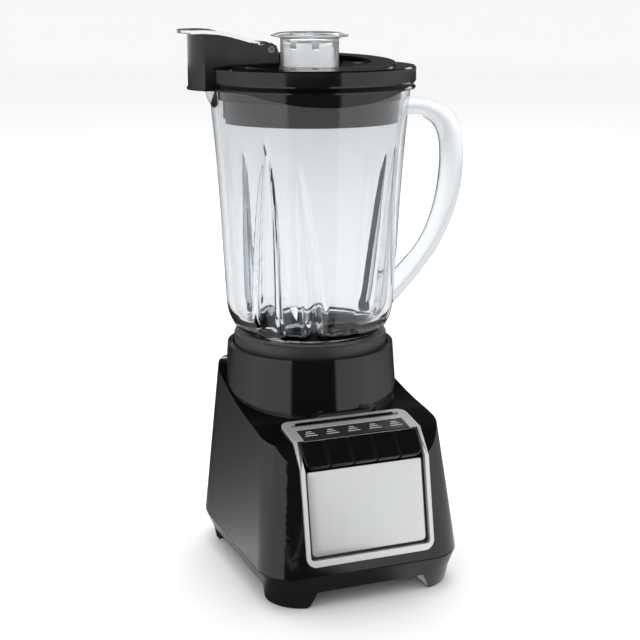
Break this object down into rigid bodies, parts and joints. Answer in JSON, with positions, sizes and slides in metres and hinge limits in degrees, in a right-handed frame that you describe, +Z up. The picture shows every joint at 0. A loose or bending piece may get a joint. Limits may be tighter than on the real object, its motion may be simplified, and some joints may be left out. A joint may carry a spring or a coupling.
{
  "type": "countertop blender",
  "caption": "Countertop blender: black motor base with push buttons and bright panel frame, thick glass jar with handle, lid with flip spout cover and clear filler cap.",
  "frame": {"origin": "where the drive axis meets the surface that the blender stands on", "axes": "+Z up along the drive axis, -Y towards the front with the push buttons, +X to the right seen from the front"},
  "size_m": [0.1979, 0.1852, 0.3706],
  "materials": {
    "gloss_black": "polished moulded black ABS",
    "satin_black": "satin moulded dark polypropylene",
    "chrome_trim": "bright plated trim",
    "brushed_silver": "fine satin silver plate",
    "label_dark": null,
    "button_black": "glossy black",
    "rubber": "soft matt rubber",
    "steel": "ground steel",
    "stamped_steel": "polished stamped stainless steel",
    "lamination": "stacked electrical steel",
    "copper": "enamelled copper winding",
    "bronze": "sintered bronze",
    "carbon": "pressed carbon",
    "board_green": "circuit board",
    "housing_grey": "filled moulded plastic",
    "jar_glass": "thick pressed clear glass, faintly green at the edges",
    "clear_plastic": "clear moulded plastic"
  },
  "bodies": {
    "base": {"housing_upper": "gloss_black", "housing_bottom": "gloss_black", "foot_pads": "rubber", "base_screws": "steel", "cord_gland": "rubber", "seat_ring": "rubber", "panel_frame": "chrome_trim", "panel_plate": "brushed_silver", "label_strip": "label_dark", "switch_block": "housing_grey", "circuit_board": "board_green", "stator_core": "lamination", "field_coils": "copper", "motor_bracket_upper": "steel", "motor_bracket_lower": "steel", "upper_bearing": "bronze", "lower_bearing": "bronze", "stator_bolts": "steel", "motor_screws": "steel", "carbon_brushes": "carbon", "brush_holders": "housing_grey"},
    "rotor": {"motor_shaft": "steel", "rotor_core": "lamination", "commutator": "copper", "cooling_fan": "housing_grey", "drive_coupling": "rubber"},
    "jar": {"glass_jar": "jar_glass", "jar_gasket": "rubber", "blade_housing": "satin_black", "shaft_bush": "bronze", "jar_collar": "satin_black"},
    "cutter": {"blade_shaft": "steel", "blade_washer": "steel", "blade_lower": "stamped_steel", "blade_upper": "stamped_steel", "blade_nut": "stamped_steel", "driven_coupling": "steel"},
    "lid": {"lid_body": "gloss_black", "lid_seal": "rubber", "hinge_pin": "steel"},
    "flip_cover": {"spout_cover": "clear_plastic"},
    "cap": {"filler_cap": "clear_plastic"},
    "push_button_1": {"button_1": "button_black"},
    "push_button_2": {"button_2": "button_black"},
    "push_button_3": {"button_3": "button_black"},
    "push_button_4": {"button_4": "button_black"},
    "push_button_5": {"button_5": "button_black"}
  },
  "joints": [
    {"name": "jar_lift", "type": "slide", "parent": "base", "child": "jar", "axis": [0, 0, 1], "range_m": [0, 0.06]},
    {"name": "lid_lift", "type": "slide", "parent": "jar", "child": "lid", "axis": [0, 0, 1], "range_m": [0, 0.06]},
    {"name": "cap_lift", "type": "slide", "parent": "lid", "child": "cap", "axis": [0, 0, 1], "range_m": [0, 0.05]},
    {"name": "cover_hinge", "type": "hinge", "parent": "lid", "child": "flip_cover", "pos_m": [-0.02905, 0.00512, 0.3576], "axis": [0.1736, 0.9848, 0], "range_deg": [0, 75]},
    {"name": "motor_spin", "type": "hinge", "parent": "base", "child": "rotor", "pos_m": [0, 0, 0.08], "axis": [0, 0, 1], "continuous": true},
    {"name": "cutter_spin", "type": "hinge", "parent": "jar", "child": "cutter", "pos_m": [0, 0, 0.15], "axis": [0, 0, 1], "continuous": true},
    {"name": "button_1_press", "type": "slide", "parent": "base", "child": "push_button_1", "axis": [0, 0.7613, -0.6484], "range_m": [0, 0.003], "stiffness_N_per_m": 700, "springref_m": -0.001},
    {"name": "button_2_press", "type": "slide", "parent": "base", "child": "push_button_2", "axis": [0, 0.7613, -0.6484], "range_m": [0, 0.003], "stiffness_N_per_m": 700, "springref_m": -0.001},
    {"name": "button_3_press", "type": "slide", "parent": "base", "child": "push_button_3", "axis": [0, 0.7613, -0.6484], "range_m": [0, 0.003], "stiffness_N_per_m": 700, "springref_m": -0.001},
    {"name": "button_4_press", "type": "slide", "parent": "base", "child": "push_button_4", "axis": [0, 0.7613, -0.6484], "range_m": [0, 0.003], "stiffness_N_per_m": 700, "springref_m": -0.001},
    {"name": "button_5_press", "type": "slide", "parent": "base", "child": "push_button_5", "axis": [0, 0.7613, -0.6484], "range_m": [0, 0.003], "stiffness_N_per_m": 700, "springref_m": -0.001}
  ],
  "couplings": [
    {"joint": "cutter_spin", "follows": "motor_spin", "ratio": 1}
  ]
}
